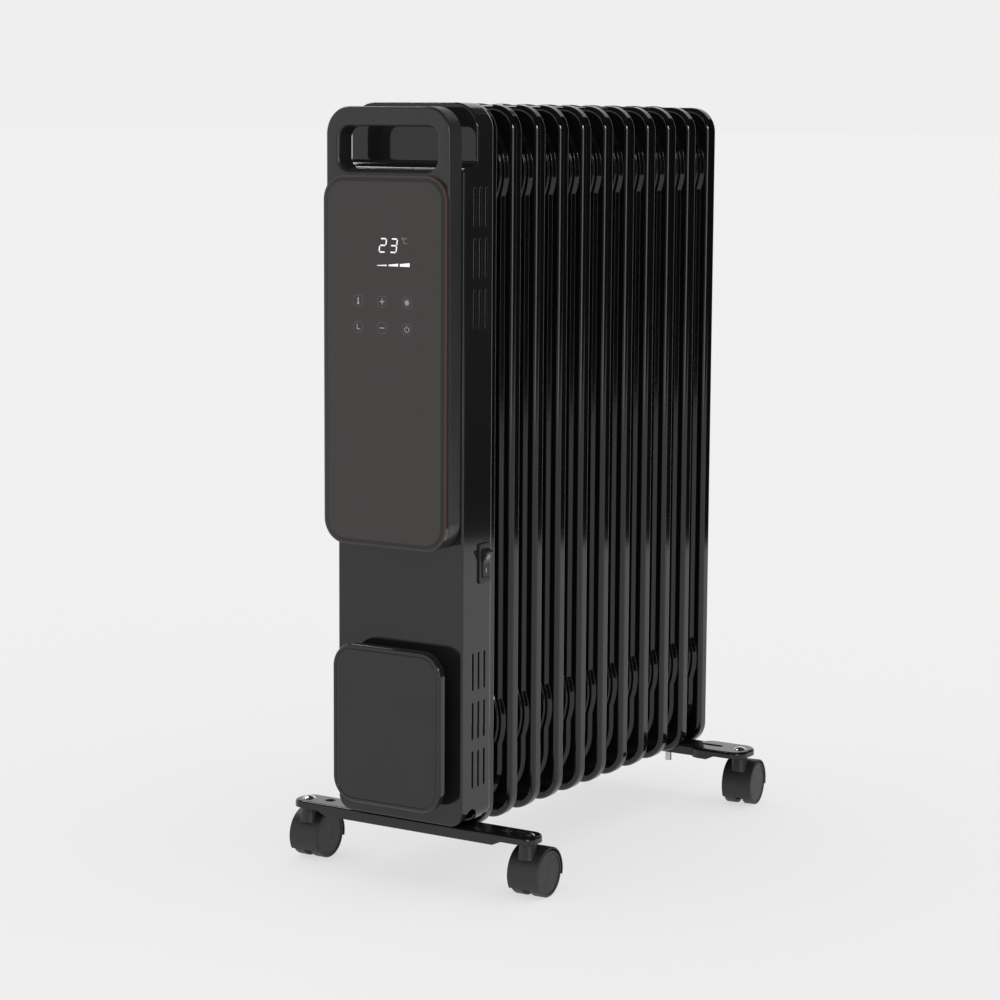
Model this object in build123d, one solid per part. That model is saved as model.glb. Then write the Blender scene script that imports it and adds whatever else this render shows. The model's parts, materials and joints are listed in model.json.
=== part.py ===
"""Oil filled radiator heater on four twin-wheel casters.

Datum while modelling: X across the heater (0 at its middle), Y from the front of the
handle plate (0) towards the last fin, Z up from the floor. Millimetres throughout.
Every piece is moved by -Y_MID on export, which puts the origin at the middle of the
footprint on the floor.
"""
from math import cos, radians, sin
import os

from build123d import *

# ---------------------------------------------------------------- driving dimensions
# fins: two pressed steel sheets seamed together, with the outer flange bent backwards
FIN_COUNT = 11
FIN_PITCH = 36.77
FIN_WIDTH = 120.0
FIN_BOTTOM = 45.8
FIN_TOP = 638.2
FIN_CORNER_R = 22.0
FIRST_RIM_BACK = 67.4
RIM_DEPTH = 11.0
RIM_WALL = 1.2
RIM_BEND_R = 4.5
SEAM_THICK = 1.6
BORDER = 8.0
PANEL_CORNER_R = 38.0
PANEL_RISE = 3.0
PANEL_SLOPE_DEG = 40.0
PANEL_WALL = 1.0
HEADER_TOP_Z = 584.0
HEADER_BOTTOM_Z = 130.0
HEADER_R = 30.0
HEADER_BORE_R = 28.5
HUB_R = 55.5
HUB_BOSS_R = 50.5
HUB_BOSS_RISE = 1.2

# control housing
HOUSING_WIDTH = 122.8
HOUSING_FRONT = 18.1
HOUSING_BACK = 65.9
HOUSING_BOTTOM = 56.0
HOUSING_TOP = 639.4
HOUSING_TOP_R = 22.0
HOUSING_BOTTOM_R = 12.0
HOUSING_WALL = 2.0
POCKET_FRONT = 53.0
POCKET_GAP = 0.2
RECESS_Y = 37.5
LEDGE_Z = 589.0
LEDGE_R = 6.5
VENT_COLUMNS_Y = (33.7, 42.1, 50.7)
VENT_CENTRES_Z = (557.2, 516.7, 476.1, 182.7, 142.0, 101.7)
VENT_LENGTH = 31.0
VENT_WIDTH = 2.9
NOTCH_Y = 32.5
NOTCH_R = 8.5
NOTCH_TOP_Z = 69.0

# handle plate, touch panel and cord wrap
PLATE_WIDTH = 119.2
PLATE_BOTTOM = 284.0
PLATE_TOP = 636.0
PLATE_CORNER_R = 22.0
PLATE_WALL = 2.5
GRIP_WIDTH = 94.2
GRIP_BOTTOM = 586.3
GRIP_TOP = 620.2
GRIP_CORNER_R = 9.0
GRIP_EDGE_R = 4.0
PANEL_FRONT = -4.2
PANEL_TOP = 581.8
PANEL_CORNER = 20.0
PANEL_BEVEL_WIDE = 4.6
PANEL_BEVEL_DEEP = 1.0
WRAP_X = 0.4
WRAP_WIDTH = 106.4
WRAP_BOTTOM = 69.4
WRAP_TOP = 201.4
WRAP_FRONT = -2.0
WRAP_THICK = 8.0
WRAP_CORNER_R = 20.0
WRAP_GROOVE_INSET = 3.4
WRAP_GROOVE_WIDTH = 0.8
WRAP_GROOVE_DEEP = 0.5
POST_WIDTH = 48.0
POST_HEIGHT = 84.0

# power switch on the right side
SWITCH_Y = 49.0
SWITCH_Z = 270.4
BEZEL_WIDTH = 16.0
BEZEL_HEIGHT = 33.0
BEZEL_THICK = 1.8
SWITCH_BODY_WIDTH = 12.8
SWITCH_BODY_HEIGHT = 28.0
SWITCH_BODY_DEPTH = 9.5
ROCKER_WIDTH = 9.5
ROCKER_R = 11.5
ROCKER_SWING_DEG = 24.0
ROCKER_GAP = 0.35
TRUNNION_R = 1.2
RUNNING_GAP = 0.05

# mains cord gland on the left side
GLAND_Y = 32.5
GLAND_Z = 70.0
GLAND_BORE_R = 4.0
GLAND_R = 6.5
GLAND_FLANGE_R = 8.5

# feet
FOOT_TOP = 53.0
FOOT_SHEET = 1.8
FOOT_MID_BOTTOM = 43.4
FOOT_END_BOTTOM = 47.0
FOOT_ARCH_IN = 84.0
FOOT_ARCH_OUT = 92.0
FOOT_LENGTH = 240.0
FRONT_FOOT_Y = 42.3
FRONT_FOOT_WIDTH = 27.0
REAR_FOOT_Y = 410.6
REAR_FOOT_WIDTH = 37.0
REAR_WAIST_FRONT = 398.9
REAR_WAIST_BACK = 423.5
REAR_WAIST_HALF = 64.0
RIVET_X = 110.0
RIVET_TOP = 55.2
RIVET_HEAD_R = 5.6
STUD_X = 34.5
STUD_R = 3.0
STUD_BOTTOM = 33.0

# casters
WHEEL_R = 19.6
WHEEL_IN = 4.0
WHEEL_OUT = 13.7
TRAIL = 11.7
HOOD_HALF = 14.0
HOOD_R = 22.0
HOOD_IN_R = 20.4
WEB_HALF = 3.6
HOOD_FRONT_Z = 8.5
HOOD_BACK_Z = 15.0
STEM_R = 3.4
AXLE_R = 2.5
AXLE_HALF = 10.0
# name, x side, foot, resting turn about the stem in degrees
CASTERS = (
    ("front_left", -1, FRONT_FOOT_Y, 2.0),
    ("front_right", 1, FRONT_FOOT_Y, 2.0),
    ("rear_left", -1, REAR_FOOT_Y, -8.0),
    ("rear_right", 1, REAR_FOOT_Y, 8.0),
)

# ---------------------------------------------------------------- derived values
REAR_TURN = radians(CASTERS[3][3])
REAR_REACH = REAR_FOOT_Y + (TRAIL + HOOD_R) * cos(REAR_TURN) + HOOD_HALF * sin(REAR_TURN)
Y_MID = (REAR_REACH + PANEL_FRONT) / 2
HALF_HOUSING = HOUSING_WIDTH / 2
PANEL_BACK_RISE = SEAM_THICK + PANEL_RISE
BACK_PLATE_Y = 48.0
BACK_PLATE_THICK = 1.5

PIECES = {}


def keep(name, shape):
    """Put a finished piece on the list of nodes to write."""
    PIECES[name] = Pos(0, -Y_MID, 0) * shape


def facing_front(y):
    """A plane across the heater at depth y, with local x, y = X, Z and normal -Y."""
    return Plane(origin=(0, y, 0), x_dir=(1, 0, 0), z_dir=(0, -1, 0))


def slab(sketch, y_front, y_back):
    """A sketch drawn in X, Z, made solid between two depths."""
    return extrude(facing_front(y_back) * sketch, amount=y_back - y_front)


def rounded(width, bottom, top, radius, x=0.0):
    """A rounded rectangle between two heights."""
    return Pos(x, (bottom + top) / 2) * RectangleRounded(width, top - bottom, radius)


def round_bar(x, z, radius, y_front, y_back):
    """A cylinder along Y."""
    return slab(Pos(x, z) * Circle(radius), y_front, y_back)


def post(x, y, radius, z_low, z_high):
    """A cylinder along Z."""
    return Pos(x, y, (z_low + z_high) / 2) * Cylinder(radius, z_high - z_low)


def cross_bar(y, z, radius, x_low, x_high):
    """A cylinder along X."""
    bar = Cylinder(radius, x_high - x_low)
    return Pos((x_low + x_high) / 2, y, z) * Rot(0, 90, 0) * bar


def block(x0, x1, y0, y1, z0, z1):
    """A box between two corners."""
    middle = Pos((x0 + x1) / 2, (y0 + y1) / 2, (z0 + z1) / 2)
    return middle * Box(x1 - x0, y1 - y0, z1 - z0)


def front_edges(shape):
    """The edges that lie in the shape's foremost plane."""
    return shape.edges().group_by(Axis.Y)[0]


def back_edges(shape):
    """The edges that lie in the shape's rearmost plane."""
    return shape.edges().group_by(Axis.Y)[-1]


# ---------------------------------------------------------------- fins and oil circuit
def seam_front(index):
    """Depth of the front of a fin's flat border."""
    return FIRST_RIM_BACK - RIM_DEPTH + FIN_PITCH * index


def away(y_seam, rise):
    """A plane across a fin whose normal points to -Y when rise is positive, else to +Y."""
    if rise > 0:
        return facing_front(y_seam)
    return Plane(origin=(0, y_seam, 0), x_dir=(-1, 0, 0), z_dir=(0, 1, 0))


def raised_panel(y_seam, rise, boss_rise):
    """One bulged sheet of the oil panel, wider round the headers, with a low boss on each.

    With no boss it keeps its plain outline, as on the first fin, whose front is in the housing.
    """
    outline = rounded(FIN_WIDTH - 2 * BORDER, FIN_BOTTOM + BORDER, FIN_TOP - BORDER, PANEL_CORNER_R)
    plane = away(y_seam, rise)
    panel = extrude(plane * outline, amount=abs(rise), taper=PANEL_SLOPE_DEG)
    if boss_rise == 0:
        return panel
    for z in (HEADER_TOP_Z, HEADER_BOTTOM_Z):
        middle = Pos(0, z)
        panel = panel + extrude(plane * (middle * Circle(HUB_R)), amount=abs(rise), taper=PANEL_SLOPE_DEG)
        boss_plane = away(y_seam - rise, rise)
        boss = extrude(boss_plane * (middle * Circle(HUB_BOSS_R)), amount=boss_rise, taper=PANEL_SLOPE_DEG)
        panel = panel + boss
    return panel


def make_fin(index):
    """A hollow fin: seam sheet, bent rim, and an oil panel bulged to both sides."""
    y0 = seam_front(index)
    outer = slab(rounded(FIN_WIDTH, FIN_BOTTOM, FIN_TOP, FIN_CORNER_R), y0, y0 + RIM_DEPTH)
    outer = fillet(front_edges(outer), RIM_BEND_R)
    trim = 2 * RIM_WALL
    inner = slab(
        rounded(FIN_WIDTH - trim, FIN_BOTTOM + RIM_WALL, FIN_TOP - RIM_WALL, FIN_CORNER_R - RIM_WALL),
        y0 + SEAM_THICK,
        y0 + RIM_DEPTH + 1,
    )
    inner = fillet(front_edges(inner), RIM_BEND_R - RIM_WALL)
    fin = outer - inner
    front_boss = HUB_BOSS_RISE if index > 0 else 0
    fin = fin + raised_panel(y0, PANEL_RISE, front_boss)
    fin = fin + raised_panel(y0 + SEAM_THICK, -PANEL_RISE, HUB_BOSS_RISE)
    inset = BORDER + PANEL_RISE + PANEL_WALL
    cavity = rounded(FIN_WIDTH - 2 * inset, FIN_BOTTOM + inset, FIN_TOP - inset, PANEL_CORNER_R - PANEL_RISE)
    y_front = y0 - PANEL_RISE
    y_back = y0 + PANEL_BACK_RISE
    fin = fin - slab(cavity, y_front + PANEL_WALL, y_back - PANEL_WALL)
    for z in (HEADER_TOP_Z, HEADER_BOTTOM_Z):
        if index > 0:
            fin = fin - round_bar(0, z, HEADER_BORE_R, y_front - 3, y0)
        if index < FIN_COUNT - 1:
            fin = fin - round_bar(0, z, HEADER_BORE_R, y0, y_back + 3)
    if index == 0:
        fin = fin - round_bar(0, HEADER_TOP_Z, PLUG_R + 0.1, y_front - 1, y0)
        fin = fin - round_bar(0, HEADER_BOTTOM_Z, FLANGE_SPIGOT_R + 0.1, y_front - 1, y0)
    return fin


PLUG_R = 9.0
FLANGE_SPIGOT_R = 20.0
FLANGE_R = 27.0
ELEMENT_ROD_R = 4.0
ELEMENT_SPREAD = 9.0
ELEMENT_END_Y = 392.0
PANEL_FACE_Y = seam_front(0) - PANEL_RISE

for k in range(FIN_COUNT):
    keep(f"fin_{k + 1:02d}", make_fin(k))


def make_collars(z):
    """The header tubes between neighbouring fins."""
    tubes = []
    for index in range(FIN_COUNT - 1):
        y_front = seam_front(index) + PANEL_BACK_RISE + HUB_BOSS_RISE
        y_back = seam_front(index + 1) - PANEL_RISE - HUB_BOSS_RISE
        tube = round_bar(0, z, HEADER_R, y_front, y_back) - round_bar(0, z, HEADER_BORE_R, y_front, y_back)
        tubes.append(tube)
    return Compound(children=tubes)


keep("top_header_collars", make_collars(HEADER_TOP_Z))
keep("bottom_header_collars", make_collars(HEADER_BOTTOM_Z))


def make_element_loop(z):
    """One hairpin of the immersion element, lying along the bottom header."""
    start_y = PANEL_FACE_Y - 6.0
    loop = round_bar(-ELEMENT_SPREAD, z, ELEMENT_ROD_R, start_y, ELEMENT_END_Y)
    loop = loop + round_bar(ELEMENT_SPREAD, z, ELEMENT_ROD_R, start_y, ELEMENT_END_Y)
    bend = Pos(0, ELEMENT_END_Y, z) * Torus(ELEMENT_SPREAD, ELEMENT_ROD_R)
    reach = ELEMENT_SPREAD + ELEMENT_ROD_R + 1
    half = block(-reach, reach, ELEMENT_END_Y, ELEMENT_END_Y + reach, z - reach, z + reach)
    return loop + (bend & half)


ELEMENT_Z = (HEADER_BOTTOM_Z - ELEMENT_SPREAD, HEADER_BOTTOM_Z + ELEMENT_SPREAD)
keep("heating_element", Compound(children=[make_element_loop(z) for z in ELEMENT_Z]))


def make_element_flange():
    """Threaded closure of the bottom header that carries the element."""
    flange = round_bar(0, HEADER_BOTTOM_Z, FLANGE_R, PANEL_FACE_Y - 2.5, PANEL_FACE_Y)
    flange = flange + round_bar(0, HEADER_BOTTOM_Z, FLANGE_SPIGOT_R, PANEL_FACE_Y, PANEL_FACE_Y + 2.0)
    hexagon = Pos(0, HEADER_BOTTOM_Z) * RegularPolygon(17.5, 6)
    flange = flange + slab(hexagon, PANEL_FACE_Y - 6.0, PANEL_FACE_Y - 2.5)
    for z in ELEMENT_Z:
        for x in (-ELEMENT_SPREAD, ELEMENT_SPREAD):
            flange = flange - round_bar(x, z, ELEMENT_ROD_R + 0.02, PANEL_FACE_Y - 7, PANEL_FACE_Y + 3)
    return flange


keep("element_flange", make_element_flange())
keep("element_terminals", Compound(children=[
    round_bar(x, z, 1.6, PANEL_FACE_Y - 16.0, PANEL_FACE_Y - 6.0)
    for z in ELEMENT_Z
    for x in (-ELEMENT_SPREAD, ELEMENT_SPREAD)
]))

PLUG_HEAD_THICK = 3.4
plug = slab(Pos(0, HEADER_TOP_Z) * RegularPolygon(12.0, 6), PANEL_FACE_Y - PLUG_HEAD_THICK, PANEL_FACE_Y)
keep("oil_filler_plug", plug + round_bar(0, HEADER_TOP_Z, PLUG_R, PANEL_FACE_Y, PANEL_FACE_Y + 4.0))

CUTOUT_Z = 500.0
cutout = round_bar(0, CUTOUT_Z, 9.0, PANEL_FACE_Y - 3.2, PANEL_FACE_Y)
for side in (-1, 1):
    cutout = cutout + block(side * 7 - 1.5, side * 7 + 1.5, 44.0, PANEL_FACE_Y - 3.2, CUTOUT_Z - 3, CUTOUT_Z + 3)
keep("thermal_cutout", cutout)


# ---------------------------------------------------------------- control housing
def housing_outline(inset):
    """Front view of the housing, drawn in by inset."""
    width = HOUSING_WIDTH - 2 * inset
    bottom = HOUSING_BOTTOM + inset
    top = HOUSING_TOP - inset
    shape = Pos(0, (bottom + top) / 2) * Rectangle(width, top - bottom)
    shape = fillet(shape.vertices().group_by(Axis.Y)[-1], HOUSING_TOP_R - inset)
    return fillet(shape.vertices().group_by(Axis.Y)[0], HOUSING_BOTTOM_R - inset)


def housing_side(inset, back):
    """Side view in Y, Z: full depth below the ledge and set back above it."""
    points = [
        (HOUSING_FRONT + inset, HOUSING_BOTTOM - 1 + inset),
        (HOUSING_FRONT + inset, LEDGE_Z - inset),
        (RECESS_Y + inset, LEDGE_Z - inset),
        (RECESS_Y + inset, HOUSING_TOP + 1),
        (back, HOUSING_TOP + 1),
        (back, HOUSING_BOTTOM - 1 + inset),
    ]
    return make_face(Polyline(*points, close=True))


def side_prism(sketch, half_width):
    """A side view made solid to both sides of the middle."""
    return extrude(Plane.YZ * sketch, amount=half_width, both=True)


BOSS_R = 4.0
PILOT_R = 1.6
BACK_PLATE_SCREWS = [(x, z) for x in (-46.0, 46.0) for z in (80.0, 230.0, 420.0, 572.0)]
PLATE_SCREWS = [(x, z) for x in (-49.0, 49.0) for z in (296.0, 560.0)]
POST_SCREWS_Z = (115.0, 165.0)


def make_housing():
    """Moulded shell: front, sides, top and bottom, open towards the first fin."""
    body = slab(housing_outline(0), HOUSING_FRONT, HOUSING_BACK)
    body = body & side_prism(housing_side(0, HOUSING_BACK), HALF_HOUSING + 1)
    ledge_edges = body.edges().filter_by(Axis.X).filter_by(
        lambda e: abs(e.center().Z - LEDGE_Z) < 0.5
    )
    body = fillet(ledge_edges, LEDGE_R)
    rear_bottom = body.edges().filter_by(Axis.X).filter_by(
        lambda e: abs(e.center().Z - HOUSING_BOTTOM) < 0.5 and e.center().Y > HOUSING_BACK - 1
    )
    body = fillet(rear_bottom, 8.0)
    body = fillet(front_edges(body), 1.6)
    hollow = slab(housing_outline(HOUSING_WALL), HOUSING_FRONT, HOUSING_BACK + 1)
    hollow = hollow & side_prism(housing_side(HOUSING_WALL, POCKET_FRONT), HALF_HOUSING)
    body = body - hollow
    pocket = slab(
        rounded(FIN_WIDTH + 2 * POCKET_GAP, FIN_BOTTOM - POCKET_GAP, FIN_TOP + POCKET_GAP,
                FIN_CORNER_R + POCKET_GAP),
        POCKET_FRONT,
        HOUSING_BACK + 1,
    )
    body = body - pocket
    for z in VENT_CENTRES_Z:
        for y in VENT_COLUMNS_Y:
            slot = SlotOverall(VENT_LENGTH, VENT_WIDTH, rotation=90)
            body = body - side_prism(Pos(y, z) * slot, HALF_HOUSING + 1)
    notch_mid = NOTCH_TOP_Z - NOTCH_R
    notch = cross_bar(NOTCH_Y, notch_mid, NOTCH_R, HALF_HOUSING - HOUSING_WALL - 12, HALF_HOUSING + 1)
    notch = notch + block(HALF_HOUSING - HOUSING_WALL - 12, HALF_HOUSING + 1, NOTCH_Y - NOTCH_R,
                          NOTCH_Y + NOTCH_R, HOUSING_BOTTOM - 1, notch_mid)
    body = body - notch
    body = body - block(HALF_HOUSING - 3, HALF_HOUSING + 1, SWITCH_Y - SWITCH_BODY_WIDTH / 2 - 0.1,
                        SWITCH_Y + SWITCH_BODY_WIDTH / 2 + 0.1, SWITCH_Z - SWITCH_BODY_HEIGHT / 2 - 0.1,
                        SWITCH_Z + SWITCH_BODY_HEIGHT / 2 + 0.1)
    body = body - cross_bar(GLAND_Y, GLAND_Z, GLAND_R + 0.05, -HALF_HOUSING - 1, -HALF_HOUSING + 5)
    inner_front = HOUSING_FRONT + HOUSING_WALL
    for x, z in BACK_PLATE_SCREWS:
        body = body + round_bar(x, z, BOSS_R, inner_front - 0.5, BACK_PLATE_Y)
        body = body - round_bar(x, z, PILOT_R, inner_front + 2, BACK_PLATE_Y + 1)
    for x, z in PLATE_SCREWS:
        body = body - round_bar(x, z, PILOT_R + 0.2, HOUSING_FRONT - 1, inner_front + 1)
    for z in POST_SCREWS_Z:
        body = body - round_bar(WRAP_X, z, PILOT_R + 0.2, HOUSING_FRONT - 1, inner_front + 1)
    for x in FOOT_SCREWS_X:
        body = body + post(x, FRONT_FOOT_Y, BOSS_R, HOUSING_BOTTOM + 1, HOUSING_BOTTOM + 14)
        body = body - post(x, FRONT_FOOT_Y, PILOT_R, HOUSING_BOTTOM - 1, HOUSING_BOTTOM + 13)
    return body


FOOT_SCREWS_X = (-24.0, 24.0)
keep("housing_shell", make_housing())


def make_back_plate():
    """Steel plate behind the electronics, with pressed standoffs for the power board."""
    plate = slab(rounded(108.0, 62.0, 584.0, 8.0), BACK_PLATE_Y, BACK_PLATE_Y + BACK_PLATE_THICK)
    plate = plate - round_bar(0, HEADER_BOTTOM_Z, FLANGE_R + 3, BACK_PLATE_Y - 1, BACK_PLATE_Y + 3)
    plate = plate - round_bar(0, CUTOUT_Z, 12.0, BACK_PLATE_Y - 1, BACK_PLATE_Y + 3)
    plate = plate - block(44.0, 60.0, BACK_PLATE_Y - 1, BACK_PLATE_Y + 3, SWITCH_Z - 17, SWITCH_Z + 17)
    plate = plate - block(-15, 15, BACK_PLATE_Y - 1, BACK_PLATE_Y + 3, HEADER_TOP_Z - 16, HEADER_TOP_Z + 16)
    for x, z in BACK_PLATE_SCREWS:
        plate = plate - round_bar(x, z, PILOT_R + 0.2, BACK_PLATE_Y - 1, BACK_PLATE_Y + 3)
    for x in (-36.0, 36.0):
        for z in (312.0, 408.0):
            plate = plate + round_bar(x, z, 3.0, BOARD_Y + BOARD_THICK, BACK_PLATE_Y)
    return plate


BOARD_THICK = 1.6
BOARD_Y = 30.0
keep("housing_back_plate", make_back_plate())


def screw(x, z, y_tip, y_seat, head):
    """A pan-head screw along Y; head is +1 when the head is on the +Y side."""
    shank = round_bar(x, z, PILOT_R - 0.1, min(y_tip, y_seat), max(y_tip, y_seat))
    head_end = y_seat + 1.9 * head
    cap = round_bar(x, z, 3.1, min(y_seat, head_end), max(y_seat, head_end))
    return shank + cap


INNER_FRONT = HOUSING_FRONT + HOUSING_WALL
screws = [screw(x, z, 32.0, BACK_PLATE_Y + BACK_PLATE_THICK, 1) for x, z in BACK_PLATE_SCREWS]
screws += [screw(x, z, 9.0, INNER_FRONT, 1) for x, z in PLATE_SCREWS]
screws += [screw(WRAP_X, z, 4.0, INNER_FRONT, 1) for z in POST_SCREWS_Z]
keep("housing_screws", Compound(children=screws))


# ---------------------------------------------------------------- handle plate and touch panel
def make_front_plate():
    """Handle hoop and the frame behind the touch panel, in one moulding."""
    plate = slab(rounded(PLATE_WIDTH, PLATE_BOTTOM, PLATE_TOP, PLATE_CORNER_R), 0, HOUSING_FRONT)
    plate = fillet(front_edges(plate), 2.2)
    plate = fillet(back_edges(plate), 1.2)
    grip = slab(rounded(GRIP_WIDTH, GRIP_BOTTOM, GRIP_TOP, GRIP_CORNER_R), -1, HOUSING_FRONT + 1)
    plate = plate - grip
    rim = plate.edges().group_by(Axis.Y)[0].filter_by(
        lambda e: abs(e.center().X) < GRIP_WIDTH / 2 + 1 and GRIP_BOTTOM - 1 < e.center().Z < GRIP_TOP + 1
    )
    plate = fillet(rim, GRIP_EDGE_R)
    hollow = slab(
        rounded(PLATE_WIDTH - 2 * PLATE_WALL, PLATE_BOTTOM + PLATE_WALL, 578.0, PLATE_CORNER_R - PLATE_WALL),
        PLATE_WALL,
        HOUSING_FRONT + 1,
    )
    plate = plate - hollow
    plate = plate - slab(rounded(52.0, 502.0, 540.0, 3.0, x=8.0), -1, PLATE_WALL + 1)
    for x, z in PLATE_SCREWS:
        plate = plate + round_bar(x, z, BOSS_R, PLATE_WALL - 0.5, HOUSING_FRONT)
        plate = plate - round_bar(x, z, PILOT_R, PLATE_WALL + 2, HOUSING_FRONT + 1)
    return plate


keep("front_plate", make_front_plate())



def make_touch_panel():
    """Thick smoked sheet with a wide bevel round its face."""
    edge_y = PANEL_FRONT + PANEL_BEVEL_DEEP
    bottom = PLATE_BOTTOM + 0.2
    inset = PANEL_BEVEL_WIDE
    outline = rounded(PLATE_WIDTH, bottom, PANEL_TOP, PANEL_CORNER)
    face = rounded(PLATE_WIDTH - 2 * inset, bottom + inset, PANEL_TOP - inset, PANEL_CORNER - inset)
    bevel = loft([facing_front(edge_y) * outline, facing_front(PANEL_FRONT) * face])
    return slab(outline, edge_y, 0) + bevel


keep("touch_panel", make_touch_panel())

CONTROL_BOARD_Y = 9.0
control_board = slab(rounded(92.0, 440.0, 552.0, 4.0), CONTROL_BOARD_Y, CONTROL_BOARD_Y + BOARD_THICK)
keep("control_board", control_board)
keep("display_module", slab(rounded(48.0, 504.0, 538.0, 2.0, x=8.0), 0.6, CONTROL_BOARD_Y))
KEY_COLUMNS_X = (-25.0, -1.7, 22.3)
KEY_ROWS_Z = (482.0, 461.0)
keep("touch_springs", Compound(children=[
    round_bar(x, z, 4.4, PLATE_WALL, CONTROL_BOARD_Y) - round_bar(x, z, 3.4, PLATE_WALL, CONTROL_BOARD_Y)
    for z in KEY_ROWS_Z
    for x in KEY_COLUMNS_X
]))

# ---------------------------------------------------------------- electronics
keep("power_board", slab(rounded(84.0, 304.0, 416.0, 3.0), BOARD_Y, BOARD_Y + BOARD_THICK))
relays = [block(x - 7.5, x + 7.5, BOARD_Y - 9.5, BOARD_Y, 372.0, 400.0) for x in (-24.0, 0.0, 24.0)]
keep("relays", Compound(children=relays))
keep("tip_over_switch", fillet(block(-10, 10, 24.0, 36.0, 58.0, 84.0).edges().filter_by(Axis.Y), 2.0))

gland = cross_bar(GLAND_Y, GLAND_Z, GLAND_R, -HALF_HOUSING - 0.5, -HALF_HOUSING + 6)
gland = gland + cross_bar(GLAND_Y, GLAND_Z, GLAND_FLANGE_R, -HALF_HOUSING - 3.0, -HALF_HOUSING)
gland = gland - cross_bar(GLAND_Y, GLAND_Z, GLAND_BORE_R, -HALF_HOUSING - 4, -HALF_HOUSING + 7)
keep("cord_gland", gland)

# ---------------------------------------------------------------- cord wrap
WRAP_BACK = WRAP_FRONT + WRAP_THICK
wrap_plate = slab(rounded(WRAP_WIDTH, WRAP_BOTTOM, WRAP_TOP, WRAP_CORNER_R, x=WRAP_X), WRAP_FRONT, WRAP_BACK)
wrap_plate = fillet(front_edges(wrap_plate), 1.8)
wrap_plate = fillet(back_edges(wrap_plate), 1.5)
groove_rings = [
    rounded(WRAP_WIDTH - 2 * g, WRAP_BOTTOM + g, WRAP_TOP - g, WRAP_CORNER_R - g, x=WRAP_X)
    for g in (WRAP_GROOVE_INSET, WRAP_GROOVE_INSET + WRAP_GROOVE_WIDTH)
]
wrap_plate = wrap_plate - slab(groove_rings[0] - groove_rings[1], WRAP_FRONT - 1, WRAP_FRONT + WRAP_GROOVE_DEEP)
post_mid = (WRAP_BOTTOM + WRAP_TOP) / 2
post_outline = rounded(POST_WIDTH, post_mid - POST_HEIGHT / 2, post_mid + POST_HEIGHT / 2, 20.0, x=WRAP_X)
wrap_post = slab(post_outline, WRAP_BACK, HOUSING_FRONT)
for z in POST_SCREWS_Z:
    wrap_plate = wrap_plate - round_bar(WRAP_X, z, PILOT_R, 3.0, WRAP_BACK + 1)
    wrap_post = wrap_post - round_bar(WRAP_X, z, PILOT_R, WRAP_BACK - 1, HOUSING_FRONT + 1)
keep("cord_wrap_plate", wrap_plate)
keep("cord_wrap_post", wrap_post)

# ---------------------------------------------------------------- power switch
PIVOT_X = HALF_HOUSING + BEZEL_THICK - 2.0
ROCKER_FACE = 2.8


def make_rocker():
    """Rocker at rest: lower half pressed level with the bezel, upper half standing out."""
    half = ROCKER_WIDTH / 2
    disc = Rot(90, 0, 0) * Cylinder(ROCKER_R, ROCKER_WIDTH)
    swing = radians(ROCKER_SWING_DEG)
    reach = 2 * ROCKER_R
    face = [
        (ROCKER_FACE, 0),
        (ROCKER_FACE, -reach),
        (reach, -reach),
        (reach, reach),
        (ROCKER_FACE + reach * sin(swing), reach * cos(swing)),
    ]
    cut = slab(make_face(Polyline(*face, close=True)), -half - 1, half + 1)
    lean = radians(ROCKER_SWING_DEG / 2)
    back = [
        (-1.6 * cos(lean) + reach * sin(lean), reach),
        (-1.6 * cos(lean) - reach * sin(lean), -reach),
        (-reach, -reach),
        (-reach, reach),
    ]
    back_cut = slab(make_face(Polyline(*back, close=True)), -half - 1, half + 1)
    pin = Rot(90, 0, 0) * Cylinder(TRUNNION_R, ROCKER_WIDTH + 2 * 1.2)
    rocker = disc - cut - back_cut + pin
    return Pos(PIVOT_X, SWITCH_Y, SWITCH_Z) * rocker


def make_switch_body():
    """Switch case with its bezel, open towards the side, with the pivot holes."""
    x_in = HALF_HOUSING - SWITCH_BODY_DEPTH
    bezel = block(HALF_HOUSING, HALF_HOUSING + BEZEL_THICK, SWITCH_Y - BEZEL_WIDTH / 2,
                  SWITCH_Y + BEZEL_WIDTH / 2, SWITCH_Z - BEZEL_HEIGHT / 2, SWITCH_Z + BEZEL_HEIGHT / 2)
    bezel = fillet(bezel.edges().filter_by(Axis.X), 2.0)
    bezel = fillet(bezel.edges().group_by(Axis.X)[-1], 0.7)
    case = block(x_in, HALF_HOUSING, SWITCH_Y - SWITCH_BODY_WIDTH / 2, SWITCH_Y + SWITCH_BODY_WIDTH / 2,
                 SWITCH_Z - SWITCH_BODY_HEIGHT / 2, SWITCH_Z + SWITCH_BODY_HEIGHT / 2)
    well_half_y = ROCKER_WIDTH / 2 + ROCKER_GAP
    well_half_z = ROCKER_R + ROCKER_GAP
    well = block(x_in + 1.5, HALF_HOUSING + BEZEL_THICK + 1, SWITCH_Y - well_half_y, SWITCH_Y + well_half_y,
                 SWITCH_Z - well_half_z, SWITCH_Z + well_half_z)
    body = bezel + case - well
    hole = Pos(PIVOT_X, SWITCH_Y, SWITCH_Z) * Rot(90, 0, 0) * Cylinder(
        TRUNNION_R + RUNNING_GAP, ROCKER_WIDTH + 2 * 1.35
    )
    return body - hole


keep("switch_rocker", make_rocker())
keep("switch_body", make_switch_body())
TERMINAL_X = HALF_HOUSING - SWITCH_BODY_DEPTH
keep("switch_terminals", Compound(children=[
    block(TERMINAL_X - 6.0, TERMINAL_X, SWITCH_Y - 5.2, SWITCH_Y - 0.8, SWITCH_Z + dz - 0.4, SWITCH_Z + dz + 0.4)
    for dz in (-8.0, 0.0, 8.0)
]))


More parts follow.
